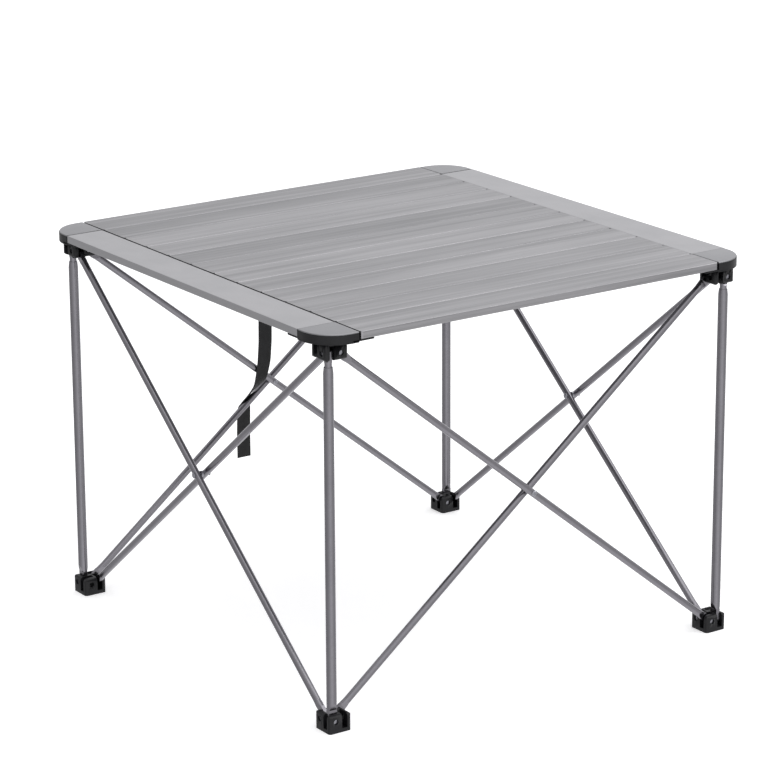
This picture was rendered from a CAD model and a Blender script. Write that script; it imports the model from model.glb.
"""Looks of a folding picnic table: an aluminium slat top on a scissor frame of rods."""
import math

import bpy
from mathutils import Matrix, Vector


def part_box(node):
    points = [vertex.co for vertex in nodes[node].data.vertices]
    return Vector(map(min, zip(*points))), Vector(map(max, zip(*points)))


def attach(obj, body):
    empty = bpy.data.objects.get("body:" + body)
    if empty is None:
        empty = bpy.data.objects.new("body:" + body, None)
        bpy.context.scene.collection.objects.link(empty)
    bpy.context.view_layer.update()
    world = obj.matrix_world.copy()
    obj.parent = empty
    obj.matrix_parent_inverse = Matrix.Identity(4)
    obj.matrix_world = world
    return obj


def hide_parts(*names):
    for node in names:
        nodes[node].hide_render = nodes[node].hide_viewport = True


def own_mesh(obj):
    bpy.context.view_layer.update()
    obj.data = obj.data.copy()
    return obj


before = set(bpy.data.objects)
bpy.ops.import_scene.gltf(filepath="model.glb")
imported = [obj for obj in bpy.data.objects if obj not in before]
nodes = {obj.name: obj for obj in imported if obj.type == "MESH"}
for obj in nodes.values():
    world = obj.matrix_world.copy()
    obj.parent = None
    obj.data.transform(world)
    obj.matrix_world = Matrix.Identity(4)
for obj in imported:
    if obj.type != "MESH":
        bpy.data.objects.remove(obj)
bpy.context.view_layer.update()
bpy.ops.object.select_all(action="DESELECT")


# ---- Studio -----------------------------------------------------------------------------
# A white sweep under even light, as for a shop's catalogue. The table is seen over its
# front corner from a little above, with a long lens.

def linear(hex_colour):
    """Linear RGBA of an sRGB hex colour."""
    channels = [int(hex_colour[i:i + 2], 16) / 255 for i in (1, 3, 5)]
    return [c / 12.92 if c <= 0.04045 else ((c + 0.055) / 1.055) ** 2.4
            for c in channels] + [1.0]


def add(tree, kind, settings=None, inputs=None, output=0):
    """Adds a node with its settings and links and returns one of its outputs.

    An input is a value, or the output that it is linked from."""
    node = tree.nodes.new("ShaderNode" + kind)
    for name, value in (settings or {}).items():
        setattr(node, name, value)
    for key, value in (inputs or {}).items():
        if isinstance(value, bpy.types.NodeSocket):
            tree.links.new(value, node.inputs[key])
        else:
            node.inputs[key].default_value = value
    return node.outputs[output]


def new_material(name, **sockets):
    """A material whose shader has these constant values; returns it, its tree and shader."""
    material = bpy.data.materials.new(name)
    material.use_nodes = True
    shader = material.node_tree.nodes["Principled BSDF"]
    for key, value in sockets.items():
        shader.inputs[key.replace("_", " ")].default_value = value
    return material, material.node_tree, shader


camera = bpy.data.objects.new("camera", bpy.data.cameras.new("camera"))
bpy.context.scene.collection.objects.link(camera)
bpy.context.scene.camera = camera
camera.location = (3.5716, -2.4746, 1.6323)
looks_at = Vector((-0.0148, 0.0050, 0.3095))
camera.rotation_euler = (looks_at - camera.location).to_track_quat("-Z", "Y").to_euler()
camera.rotation_euler.rotate_axis("Z", math.radians(-0.27))
camera.data.sensor_width = 36
camera.data.lens = 155.7
camera.data.clip_end = 60

bpy.context.scene.view_settings.view_transform = "Standard"

world = bpy.data.worlds.new("studio")
bpy.context.scene.world = world
world.use_nodes = True
tree = world.node_tree
# The studio is bright at the right and fades to the left; a flag dims its far right.
sky_way = add(tree, "TexCoord", output="Generated")
side_light = add(tree, "VectorMath", {"operation": "DOT_PRODUCT"},
                 {0: sky_way, 1: (0.57, 0.82, 0.0)}, "Value")
sky = add(tree, "MapRange", None, {"Value": side_light, "From Min": -0.95, "From Max": 0.15,
                                   "To Min": 0.50, "To Max": 1.0})
flag = add(tree, "MapRange", None, {"Value": side_light, "From Min": 0.55, "From Max": 0.95,
                                    "To Min": 0.0, "To Max": 0.36})
sky = add(tree, "Math", {"operation": "SUBTRACT"}, {0: sky, 1: flag})
tree.links.new(sky, tree.nodes["Background"].inputs["Strength"])
tree.nodes["Background"].inputs["Color"].default_value = linear("#fdfdff")

bpy.ops.mesh.primitive_plane_add(size=60, location=(0, 0, -0.0002))
floor = bpy.context.object
floor.name = "floor"
paper, tree, shader = new_material(
    "matt_white_paper", Base_Color=linear("#f4f4f4"), Roughness=0.9, Specular_IOR_Level=0.1,
    Emission_Color=linear("#ffffff"), Emission_Strength=0.45)
floor.data.materials.append(paper)
floor.visible_glossy = False  # the metal mirrors the studio's dim side and not the paper

for name, place, size, power in (("overhead_softbox", (0.6, 0.5, 3.2), 3.0, 22),
                                 ("right_softbox", (2.4, 3.0, 2.4), 1.6, 22),
                                 ("front_softbox", (2.6, -3.4, 2.6), 1.6, 9)):
    lamp = bpy.data.objects.new(name, bpy.data.lights.new(name, "AREA"))
    bpy.context.scene.collection.objects.link(lamp)
    lamp.data.shape = "SQUARE"
    lamp.data.size = size
    lamp.data.energy = power
    lamp.location = place
    table_way = Vector((0, 0, 0.35)) - lamp.location
    lamp.rotation_euler = table_way.to_track_quat("-Z", "Y").to_euler()


# ---- Slats ------------------------------------------------------------------------------
# Extruded aluminium planks, brushed along their length and clear anodised. Each plank
# comes out of the bath a shade lighter or darker, and the brush leaves long soft bands.

MM = 0.001
slats = [name for name in nodes if name.startswith("slat_") and name != "slat_cords"]
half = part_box("corner_front")[1].x
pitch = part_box("slat_03")[0].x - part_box("slat_02")[0].x
top_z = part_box("slat_02")[1].z
TIMES_PLUS = {"operation": "MULTIPLY_ADD"}
COLOURS = {"data_type": "RGBA"}

plank, tree, shader = new_material("brushed_anodised_aluminium", Metallic=1.0)
way = add(tree, "TexCoord", output="Object")
across = add(tree, "SeparateXYZ", None, {0: way}, "X")
count = add(tree, "Math", TIMES_PLUS, {0: across, 1: 1 / pitch, 2: half / pitch})
number = add(tree, "Math", {"operation": "FLOOR"}, {0: count})
within = add(tree, "Math", {"operation": "FRACT"}, {0: count})
shade = add(tree, "TexWhiteNoise", {"noise_dimensions": "1D"}, {"W": number})
# The real grain is about 0.2 mm wide; it is drawn 1.4 mm wide, so that it shows.
drawn = add(tree, "Mapping", None, {"Vector": way, "Scale": (1, 0.008, 1)})
grain = add(tree, "TexNoise", None, {"Vector": drawn, "Scale": 1 / (1.4 * MM), "Detail": 3.0,
                                     "Roughness": 0.65})
bands = add(tree, "TexNoise", None, {"Vector": drawn, "Scale": 1 / (9 * MM), "Detail": 1.0})
patchy = add(tree, "Mapping", None, {"Vector": way, "Scale": (1, 0.25, 1)})
patches = add(tree, "TexNoise", None, {"Vector": patchy, "Scale": 1 / (60 * MM)})
# The last number of this line keeps the mean of the sum near a half.
tone = add(tree, "Math", TIMES_PLUS, {0: shade, 1: 0.34, 2: -1.57})
tone = add(tree, "Math", TIMES_PLUS, {0: within, 1: 0.2, 2: tone})
tone = add(tree, "Math", TIMES_PLUS, {0: bands, 1: 1.1, 2: tone})
tone = add(tree, "Math", TIMES_PLUS, {0: patches, 1: 0.6, 2: tone})
tone = add(tree, "Math", TIMES_PLUS, {0: grain, 1: 2.0, 2: tone})
colour = add(tree, "Mix", COLOURS, {0: tone, 6: linear("#848486"), 7: linear("#b2b1b3")}, 2)
tree.links.new(colour, shader.inputs["Base Color"])
rough = add(tree, "Math", TIMES_PLUS, {0: grain, 1: 0.3, 2: 0.25})
tree.links.new(rough, shader.inputs["Roughness"])
bump = add(tree, "Bump", None, {"Height": grain, "Strength": 0.3, "Distance": 0.0001})
tree.links.new(bump, shader.inputs["Normal"])

for name in slats:
    nodes[name].data.materials[0] = plank


# ---- Rails ------------------------------------------------------------------------------
# Wider extrusions along the ends of the slats, of the same metal with a finer grain
# along X. They look paler and plainer than the slats. The ledge that carries the slats
# is painted black, so what shows in the seams is black.

top_t = 10 * MM
slat_z = top_z - top_t


def fine_brushed(name, dark, pale, stretch):
    """Aluminium with a fine grain along one axis, black below the slats' underside."""
    material, tree, shader = new_material(name, Metallic=1.0)
    way = add(tree, "TexCoord", output="Object")
    # The grain is about 0.1 mm wide; it is drawn 1.2 mm wide, so that it shows.
    drawn = add(tree, "Mapping", None, {"Vector": way, "Scale": stretch})
    grain = add(tree, "TexNoise", None, {"Vector": drawn, "Scale": 1 / (1.2 * MM),
                                         "Roughness": 0.6})
    clouds = add(tree, "TexNoise", None, {"Vector": way, "Scale": 1 / (45 * MM)})
    tone = add(tree, "Math", TIMES_PLUS, {0: clouds, 1: 0.9, 2: -0.4})
    tone = add(tree, "Math", TIMES_PLUS, {0: grain, 1: 0.9, 2: tone})
    colour = add(tree, "Mix", COLOURS, {0: tone, 6: linear(dark), 7: linear(pale)}, 2)
    height = add(tree, "SeparateXYZ", None, {0: way}, "Z")
    bare = add(tree, "Math", {"operation": "GREATER_THAN"}, {0: height, 1: slat_z - 0.2 * MM})
    colour = add(tree, "Mix", COLOURS, {0: bare, 6: linear("#08080a"), 7: colour}, 2)
    tree.links.new(colour, shader.inputs["Base Color"])
    rough = add(tree, "Math", TIMES_PLUS, {0: grain, 1: 0.25, 2: 0.25})
    tree.links.new(rough, shader.inputs["Roughness"])
    bump = add(tree, "Bump", None, {"Height": grain, "Strength": 0.15, "Distance": 0.00005})
    tree.links.new(bump, shader.inputs["Normal"])
    return material


rail_metal = fine_brushed("fine_brushed_aluminium", "#aaaaac", "#bcbbbd", (0.02, 1, 1))
for name in ("rail_left_front", "rail_right_back"):
    nodes[name].data.materials[0] = rail_metal


# ---- Corner plates ----------------------------------------------------------------------
# A pressed aluminium plate lies on each corner moulding. Its outer edge is rolled over,
# which gives the curve a bright rim.

rail_w = 54 * MM
corner_r = 45 * MM
plate_in = 0.6 * MM
plate_t = 1.6 * MM
rim_r = 0.8 * MM
CORNER_STEPS = 24
TINY = 1e-6


def block(name, low, high):
    """A box between two corners, as a mesh with its place in it."""
    size = Vector(high) - Vector(low)
    bpy.ops.mesh.primitive_cube_add(size=1, location=(Vector(low) + Vector(high)) / 2)
    bpy.context.object.name = name
    bpy.context.object.scale = size
    bpy.ops.object.transform_apply(location=True, rotation=True, scale=True)
    return bpy.context.object


def bevel_edges(piece, chosen, width, segments):
    """Rounds the edges for which chosen(end, end) is true."""
    bpy.ops.object.mode_set(mode="EDIT")
    bpy.ops.mesh.select_mode(type="EDGE")
    bpy.ops.mesh.select_all(action="DESELECT")
    bpy.ops.object.mode_set(mode="OBJECT")
    points = piece.data.vertices
    for edge in piece.data.edges:
        edge.select = chosen(*(points[v].co for v in edge.vertices))
    bpy.ops.object.mode_set(mode="EDIT")
    bpy.ops.mesh.bevel(offset=width, segments=segments, affect="EDGES")
    bpy.ops.object.mode_set(mode="OBJECT")


def apply_modifier(piece, kind, **settings):
    """Adds a modifier with these settings and applies it."""
    bpy.context.view_layer.objects.active = piece
    modifier = piece.modifiers.new(kind.lower(), kind)
    for name, value in settings.items():
        setattr(modifier, name, value)
    bpy.ops.object.modifier_apply(modifier=modifier.name)


def cut(piece, tool, operation="DIFFERENCE"):
    """Cuts a tool out of a piece, or joins it on, and throws the tool away."""
    apply_modifier(piece, "BOOLEAN", operation=operation, object=tool, solver="EXACT")
    bpy.data.objects.remove(tool)


def smooth(piece, degrees=35):
    """Smooth shading over all but the sharp edges."""
    bpy.ops.object.select_all(action="DESELECT")
    piece.select_set(True)
    bpy.context.view_layer.objects.active = piece
    bpy.ops.object.shade_smooth_by_angle(angle=math.radians(degrees))


def copy_of(piece, name, place):
    """A copy with its own mesh, put in place by a matrix."""
    made = bpy.data.objects.new(name, piece.data.copy())
    made.data.transform(place)
    bpy.context.scene.collection.objects.link(made)
    return made


def join(name, pieces):
    """Joins pieces into the first one."""
    bpy.ops.object.select_all(action="DESELECT")
    for piece in pieces:
        piece.select_set(True)
    bpy.context.view_layer.objects.active = pieces[0]
    bpy.ops.object.join()
    pieces[0].name = name
    return pieces[0]


def at_corner(i):
    """From a corner's own frame, outer corner at the origin, to corner i of the top."""
    return Matrix.Rotation(math.radians(90 * i + 90), 4, "Z") @ Matrix.Translation(
        (-half, -half, 0))


def is_upright_at(x, y):
    """A choice of the upright edge at this place, for bevel_edges."""
    return lambda a, b: all(abs(p.x - x) < TINY and abs(p.y - y) < TINY for p in (a, b))


plate = block("plate", (plate_in, plate_in, top_z - plate_t), (rail_w, rail_w, top_z))
bevel_edges(plate, is_upright_at(plate_in, plate_in), corner_r - plate_in, CORNER_STEPS)
bevel_edges(plate, lambda a, b: (min(a.z, b.z) > top_z - TINY
                                 and not min(a.x, b.x) > rail_w - TINY
                                 and not min(a.y, b.y) > rail_w - TINY), rim_r, 4)
smooth(plate, 50)
plate.data.materials.append(fine_brushed("pressed_aluminium", "#949497", "#a3a3a5",
                                         (1, 0.03, 1)))
plates = join("corner_plates_pressed",
              [copy_of(plate, f"plate_{i}", at_corner(i)) for i in range(4)])
bpy.data.objects.remove(plate)
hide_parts("corner_plates")
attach(plates, "top_frame")


# ---- Corner mouldings -------------------------------------------------------------------
# Glass-filled nylon, moulded in one piece: a block that closes the round corner, a base
# plate whose tabs carry the slats and the rail, a thin skirt below and a tenon that
# plugs into the end of the rail. A screw comes up through the tab into the rail.

black, tree, shader = new_material("moulded_nylon", IOR=1.53, Specular_IOR_Level=0.35)
way = add(tree, "TexCoord", output="Object")
# The tool's spark-eroded texture is about 0.1 mm fine; it is drawn 0.5 mm, so that it shows.
spark = add(tree, "TexNoise", None, {"Vector": way, "Scale": 1 / (0.5 * MM), "Detail": 3.0})
flow = add(tree, "TexNoise", None, {"Vector": way, "Scale": 1 / (18 * MM)})
colour = add(tree, "Mix", COLOURS, {0: flow, 6: linear("#09090b"), 7: linear("#18181b")}, 2)
tree.links.new(colour, shader.inputs["Base Color"])
rough = add(tree, "Math", TIMES_PLUS, {0: spark, 1: 0.35, 2: 0.25})
tree.links.new(rough, shader.inputs["Roughness"])
bump = add(tree, "Bump", None, {"Height": spark, "Strength": 0.3, "Distance": 0.00008})
tree.links.new(bump, shader.inputs["Normal"])

CORNERS = ["front", "right", "back", "left"]
rest_gap = 0.3 * MM
base_t, base_reach = 1.7 * MM, 22 * MM
base_top = slat_z - rest_gap
base_under = base_top - base_t
skirt_drop, skirt_t = 1.4 * MM, 2.4 * MM
skirt_under = base_under - skirt_drop
tab_w = 12 * MM
tenon_side = 1.65 * MM
loose_end = 2.2 * MM
screw_at = rail_w + loose_end + base_reach / 2
screw_head_r = 3 * MM
edge_r = 0.5 * MM


def rounded_block(name, inset, low_z, high_z):
    """The corner's outline between two heights, drawn in by an inset."""
    made = block(name, (inset, inset, low_z), (rail_w, rail_w, high_z))
    bevel_edges(made, is_upright_at(inset, inset), corner_r - inset, CORNER_STEPS)
    return made


def corner_moulding(tenon_on_x):
    """The moulding in its own frame, the outer corner at the origin."""
    made = rounded_block("moulding", 0, base_under, top_z - plate_t)
    reach = rail_w + base_reach
    for low, high in (((corner_r, tab_w), (reach, rail_w)),
                      ((tab_w, corner_r), (rail_w, reach)),
                      ((0, corner_r), (tab_w, reach)), ((corner_r, 0), (reach, tab_w))):
        cut(made, block("tab", (*low, base_under), (*high, base_top)), "UNION")
    skirt = rounded_block("skirt", 0, skirt_under, base_under + 0.2 * MM)
    inside = rounded_block("inside", skirt_t, skirt_under - MM, base_under + MM)
    for point in inside.data.vertices:  # the skirt stays open on the two inner sides
        for axis in (0, 1):
            if point.co[axis] > rail_w - TINY:
                point.co[axis] += 2 * MM
    cut(skirt, inside)
    cut(made, skirt, "UNION")
    low = [rail_w - MM, tenon_side, slat_z + tenon_side]
    high = [rail_w + base_reach, rail_w - tenon_side, top_z - tenon_side]
    centre = [screw_at, rail_w / 2]
    if not tenon_on_x:
        low[:2], high[:2], centre = low[1::-1], high[1::-1], centre[::-1]
    cut(made, block("tenon", low, high), "UNION")
    bpy.ops.mesh.primitive_cylinder_add(vertices=32, radius=screw_head_r, depth=4 * MM,
                                        location=(*centre, base_under))
    cut(made, bpy.context.object)
    apply_modifier(made, "BEVEL", width=edge_r, segments=2, limit_method="ANGLE",
                   angle_limit=math.radians(40))
    smooth(made)
    return made


for tenon_on_x in (True, False):
    moulding = corner_moulding(tenon_on_x)
    moulding.data.materials.append(black)
    for i in (1, 3) if tenon_on_x else (0, 2):
        name = f"corner_{CORNERS[i]}"
        piece = copy_of(moulding, f"{name}_moulded", at_corner(i))
        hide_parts(name)
        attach(piece, "top_frame")
    bpy.data.objects.remove(moulding)


# ---- Hubs -------------------------------------------------------------------------------
# Eight equal nylon blocks join the rods and legs. Four slots run in from the sides like
# a pinwheel, and a pin crosses each; its head sits in a counterbore of the next face.

low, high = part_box("foot_hub_front")
hub_side = high.x - low.x
hub_h = high.z
hub_c = (low.x + high.x) / 2
hub_edge_r, prong_r, hub_rim_r = 4 * MM, 5 * MM, 0.45 * MM
hub_base = 5 * MM
slot_off, slot_w, slot_web = 6.5 * MM, 8 * MM, 2 * MM
pin_z, pin_end, pin_r = 15 * MM, 1 * MM, 2 * MM
head_seat, head_hole_r = 12.9 * MM, 3.5 * MM


def around(tool):
    """A tool at each quarter turn, as one piece."""
    turned = [copy_of(tool, "tool", Matrix.Rotation(math.radians(90 * k), 4, "Z"))
              for k in range(4)]
    bpy.data.objects.remove(tool)
    return join("tool", turned)


def bore(radius, start):
    """A tool for the round holes along the four pins, from this distance on."""
    bpy.ops.mesh.primitive_cylinder_add(
        vertices=32, radius=radius, depth=hub_side, rotation=(0, math.radians(90), 0),
        location=(start + hub_side / 2, -slot_off, pin_z))
    bpy.ops.object.transform_apply(location=True, rotation=True, scale=True)
    return around(bpy.context.object)


hub = block("hub", (-hub_side / 2, -hub_side / 2, 0), (hub_side / 2, hub_side / 2, hub_h))
bevel_edges(hub, lambda a, b: abs(a.z - b.z) > hub_h / 2, hub_edge_r, 6)
for quarter in (0, 1):  # the prongs' tips are round both ways
    arch = block("arch", (-hub_side / 2, -hub_side, -hub_base), (hub_side / 2, hub_side, hub_h))
    bevel_edges(arch, lambda a, b: min(a.z, b.z) > hub_h - TINY and abs(a.x - b.x) < TINY,
                prong_r, 6)
    arch.data.transform(Matrix.Rotation(math.radians(90 * quarter), 4, "Z"))
    cut(hub, arch, "INTERSECT")
cut(hub, around(block("slot", (slot_off - slot_w / 2, -hub_side, hub_base),
                      (slot_off + slot_w / 2, slot_off - slot_w / 2 - slot_web, 2 * hub_h))))
cut(hub, bore(pin_r, pin_end))
cut(hub, bore(head_hole_r, head_seat))
apply_modifier(hub, "BEVEL", width=hub_rim_r, segments=2, limit_method="ANGLE",
               angle_limit=math.radians(40))
smooth(hub)
hub.data.materials.append(black)

seat_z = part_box("top_hub_front")[1].z
hung = Matrix.Translation((0, 0, seat_z)) @ Matrix.Rotation(math.pi, 4, "Y")
for i, corner in enumerate(CORNERS):
    place = Matrix.Rotation(math.radians(90 * i), 4, "Z") @ Matrix.Translation(
        (hub_c, -hub_c, 0))
    for name, matrix in ((f"foot_hub_{corner}", place), (f"top_hub_{corner}", place @ hung)):
        piece = copy_of(hub, f"{name}_moulded", matrix)
        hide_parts(name)
        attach(piece, name.replace("_hub", ""))
bpy.data.objects.remove(hub)


# ---- Legs and cross rods ----------------------------------------------------------------
# Drawn aluminium tube with a satin grey anodised finish, the same on the round lengths
# and on the ends that are pressed flat to go into the hubs.

tube, tree, shader = new_material("grey_anodised_tube", Metallic=1.0)
way = add(tree, "TexCoord", output="Object")
satin = add(tree, "TexNoise", None, {"Vector": way, "Scale": 1 / (4 * MM), "Detail": 2.0})
clouds = add(tree, "TexNoise", None, {"Vector": way, "Scale": 1 / (60 * MM)})
tone = add(tree, "Math", TIMES_PLUS, {0: clouds, 1: 1.2, 2: -0.6})
tone = add(tree, "Math", TIMES_PLUS, {0: satin, 1: 1.0, 2: tone})
colour = add(tree, "Mix", COLOURS, {0: tone, 6: linear("#88868b"), 7: linear("#949297")}, 2)
tree.links.new(colour, shader.inputs["Base Color"])
rough = add(tree, "Math", TIMES_PLUS, {0: satin, 1: 0.12, 2: 0.15})
tree.links.new(rough, shader.inputs["Roughness"])
for name, node in nodes.items():
    if name.startswith(("leg_tube", "inner_tube", "rod_")):
        node.data.materials[0] = tube


# ---- Pins, rivets, screws and clip ------------------------------------------------------
# Small turned and headed steel parts, zinc plated, with a fine satin from tumbling.

zinc, tree, shader = new_material("zinc_plated_steel", Metallic=1.0)
way = add(tree, "TexCoord", output="Object")
tumbled = add(tree, "TexNoise", None, {"Vector": way, "Scale": 1 / (0.8 * MM), "Detail": 3.0})
colour = add(tree, "Mix", COLOURS, {0: tumbled, 6: linear("#88888e"), 7: linear("#b6b6bc")}, 2)
tree.links.new(colour, shader.inputs["Base Color"])
rough = add(tree, "Math", TIMES_PLUS, {0: tumbled, 1: 0.4, 2: 0.1})
tree.links.new(rough, shader.inputs["Roughness"])
for name, node in nodes.items():
    if "pins" in name or "rivet" in name or name in ("corner_screws", "strap_clip"):
        node.data.materials[0] = zinc


# ---- Elastic cords ----------------------------------------------------------------------
# Two braided shock cords run through all the slats and end in a knot inside the outer
# ones. Each slat carries its own stretch, so that the cord follows when the top rolls up.

cord_r, cord_end_r = 1.5 * MM, 0.4 * MM
cord_y = 190 * MM
cord_z = top_z - top_t / 2
knot_r, knot_in = 2.8 * MM, 10 * MM
joint_reach = 0.6 * MM  # how far a stretch runs on past its slat, over the gap
braid, tree, shader = new_material("braided_shock_cord", Roughness=0.85)
way = add(tree, "TexCoord", output="Object")
# A wave of this scale repeats every 3.5 mm, as the strands of the braid do.
yarn = add(tree, "TexWave", {"bands_direction": "DIAGONAL"},
           {"Vector": way, "Scale": 180.0, "Distortion": 0.6, "Detail": 1.0}, "Fac")
colour = add(tree, "Mix", COLOURS, {0: yarn, 6: linear("#101012"), 7: linear("#2c2c30")}, 2)
tree.links.new(colour, shader.inputs["Base Color"])
bump = add(tree, "Bump", None, {"Height": yarn, "Strength": 0.6, "Distance": 0.0002})
tree.links.new(bump, shader.inputs["Normal"])

slat_count = len(slats)
for k in range(1, slat_count + 1):
    low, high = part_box(f"slat_{k:02d}")
    start = low.x - joint_reach if k > 1 else low.x + knot_in
    end = high.x + joint_reach if k < slat_count else high.x - knot_in
    stretches = []
    for y in (-cord_y, cord_y):
        bpy.ops.mesh.primitive_cylinder_add(
            vertices=16, radius=cord_r, depth=end - start, rotation=(0, math.radians(90), 0),
            location=((start + end) / 2, y, cord_z))
        bpy.ops.object.transform_apply(location=True, rotation=True, scale=True)
        stretch = bpy.context.object
        bevel_edges(stretch, lambda a, b: abs(a.x - b.x) < TINY, cord_end_r, 2)
        stretches.append(stretch)
        for outer, x in ((k == 1, start), (k == slat_count, end)):
            if outer:
                bpy.ops.mesh.primitive_uv_sphere_add(segments=20, ring_count=12, radius=knot_r,
                                                     location=(x, y, cord_z))
                bpy.ops.object.transform_apply(location=True, rotation=True, scale=True)
                stretches.append(bpy.context.object)
    piece = join(f"shock_cord_{k:02d}", stretches)
    smooth(piece)
    piece.data.materials.append(braid)
    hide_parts("slat_cords")
    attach(piece, "top_frame" if k == 1 else f"slat_{k:02d}")


# ---- Tie strap --------------------------------------------------------------------------
# Woven polypropylene webbing that ties the folded bundle. It is riveted under the first
# slat and hangs down between the two rods of the left-back side, over the outer one and
# on down outside it, to an end that is cut square.

strap_w, strap_t, strap_gap = 22 * MM, 1.2 * MM, 0.9 * MM
strap_below, strap_drop, strap_lap = 29 * MM, 111 * MM, 24 * MM
strap_edge_r = 0.3 * MM
cup_depth, cup_start, cup_rise = 0.5 * MM, 40 * MM, 60 * MM
flat_lean = 20
rod_r = 4.75 * MM
mid_z = seat_z / 2  # the height at which the rods cross
slope = (seat_z - 2 * pin_z) / (2 * (hub_c - slot_off))
wrap_r = rod_r + strap_t / 2 + strap_gap
down_x = -hub_c + slot_off + rod_r + 3 * MM
over_x = -hub_c - slot_off
over_y = -strap_below / slope
over_z = mid_z - strap_below + wrap_r * math.hypot(1, slope)
lap_z = slat_z - strap_t / 2
STEPS_ACROSS = 12


def over_rod(along, turn, lean):
    """A point of the strap round the outer rod, turned outwards from the rod's upper side."""
    y = over_y + along * MM
    turn = math.radians(turn)
    return (over_x - wrap_r * math.sin(turn), y,
            mid_z + y * slope + wrap_r * math.cos(turn) * math.hypot(1, slope), lean)


# Each point is X, Y, Z and how far the strap leans over towards the rod's slope, in degrees.
rod_lean = math.degrees(math.atan(slope))
top_y = over_y + 19 * MM
out_x = over_x - wrap_r - 0.3 * MM
STRAP_ROUTE = [
    (down_x - strap_lap, top_y, lap_z, 0), (down_x - 7 * MM, top_y, lap_z, 0),
    (down_x - 2 * MM, top_y, lap_z - 1.4 * MM, 0), (down_x, top_y, lap_z - 6 * MM, 0),
    (down_x, top_y, lap_z - 100 * MM, 0), (down_x, top_y - MM, over_z + 85 * MM, 0),
    (down_x - 0.5 * MM, top_y - 3 * MM, over_z + 55 * MM, 5),
    (down_x - 1.2 * MM, top_y - 6 * MM, over_z + 39 * MM, 12),
    (down_x - 1.7 * MM, over_y + 10 * MM, over_z + 26 * MM, 20),
    (down_x - 6.2 * MM, over_y + 6.6 * MM, over_z + 18 * MM, 26),
    (over_x + 6.6 * MM, over_y + 3.8 * MM, over_z + 9.4 * MM, 34),
    over_rod(0, 30, rod_lean), over_rod(-1.3, 58, rod_lean), over_rod(-2.3, 82, 25),
    (out_x, over_y - 2.6 * MM, over_z - 22 * MM, 10),
    (out_x - 0.3 * MM, over_y - 3 * MM, over_z - 40 * MM, 0),
    (out_x - 0.5 * MM, over_y - 3.2 * MM, mid_z - 75 * MM, 0),
    (out_x, over_y - 3.4 * MM, mid_z - strap_drop, 0)]


def rounded_route(points, step):
    """Points along straight stretches joined by smooth turns, about a step apart."""
    fine = []
    for a, b in zip(points, points[1:]):
        a, b = Vector(a), Vector(b)
        parts = max(1, round((b - a).to_3d().length / step))
        fine += [a.lerp(b, n / parts) for n in range(parts)]
    fine.append(Vector(points[-1]))
    for _ in range(4):
        fine = [fine[0]] + [(a + 2 * b + c) / 4 for a, b, c in zip(fine, fine[1:], fine[2:])
                            ] + [fine[-1]]
    return fine


route = rounded_route(STRAP_ROUTE, 2.5 * MM)
middle = [point.to_3d() for point in route]
last = len(middle) - 1
lengths = [0.0]
for a, b in zip(middle, middle[1:]):
    lengths.append(lengths[-1] + (b - a).length)
bpy.ops.mesh.primitive_grid_add(x_subdivisions=STEPS_ACROSS, y_subdivisions=last, size=1)
strap = bpy.context.object
strap.name = "tie_strap_woven"
uv = strap.data.uv_layers.active or strap.data.uv_layers.new(name="UVMap")
for loop in strap.data.loops:
    point = strap.data.vertices[loop.vertex_index].co
    ring = round((point.y + 0.5) * last)
    uv.data[loop.index].uv = ((point.x + 0.5) * strap_w / MM, lengths[ring] / MM)
for point in strap.data.vertices:
    ring = round((point.co.y + 0.5) * last)
    share = point.co.x
    lean = math.radians(route[ring].w)
    across = Vector((0, math.cos(lean), math.sin(lean)))
    along = middle[min(ring + 1, last)] - middle[max(ring - 1, 0)]
    out = across.cross(along).normalized()
    # webbing cups a little across its width where it hangs free and doesn't lean
    free = min(1.0, max(0.0, (lengths[ring] - cup_start) / cup_rise))
    free *= 1 - min(1.0, abs(route[ring].w) / flat_lean)
    cup = free * cup_depth * (1 - 4 * share * share)
    point.co = middle[ring] + across * (share * strap_w) + out * cup
apply_modifier(strap, "SOLIDIFY", thickness=strap_t * 0.9, offset=0.0)
apply_modifier(strap, "BEVEL", width=strap_edge_r, segments=2, limit_method="ANGLE",
               angle_limit=math.radians(60))
smooth(strap, 50)

webbing, tree, shader = new_material("woven_polypropylene", Roughness=0.75,
                                     Sheen_Weight=0.12, Sheen_Roughness=0.4)
threads = add(tree, "UVMap")
# Ribs of warp yarn 1.4 mm wide with a weft pick every 1.1 mm, as on real webbing.
waves = []
for axis, spacing in (("X", 1.4), ("Y", 1.1)):
    place = add(tree, "SeparateXYZ", None, {0: threads}, axis)
    turn = add(tree, "Math", {"operation": "MULTIPLY"}, {0: place, 1: 2 * math.pi / spacing})
    waves.append(add(tree, "Math", {"operation": "SINE"}, {0: turn}))
weave = add(tree, "Math", {"operation": "MULTIPLY"}, {0: waves[0], 1: waves[1]})
way = add(tree, "TexCoord", output="Object")
fuzz = add(tree, "TexNoise", None, {"Vector": way, "Scale": 1 / (6 * MM)})
tone = add(tree, "Math", TIMES_PLUS, {0: weave, 1: 0.25, 2: fuzz})
colour = add(tree, "Mix", COLOURS, {0: tone, 6: linear("#060607"), 7: linear("#1e1e20")}, 2)
tree.links.new(colour, shader.inputs["Base Color"])
bump = add(tree, "Bump", None, {"Height": weave, "Strength": 0.7, "Distance": 0.0002})
tree.links.new(bump, shader.inputs["Normal"])
strap.data.materials.append(webbing)
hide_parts("tie_strap")
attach(strap, "top_frame")
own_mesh(strap)
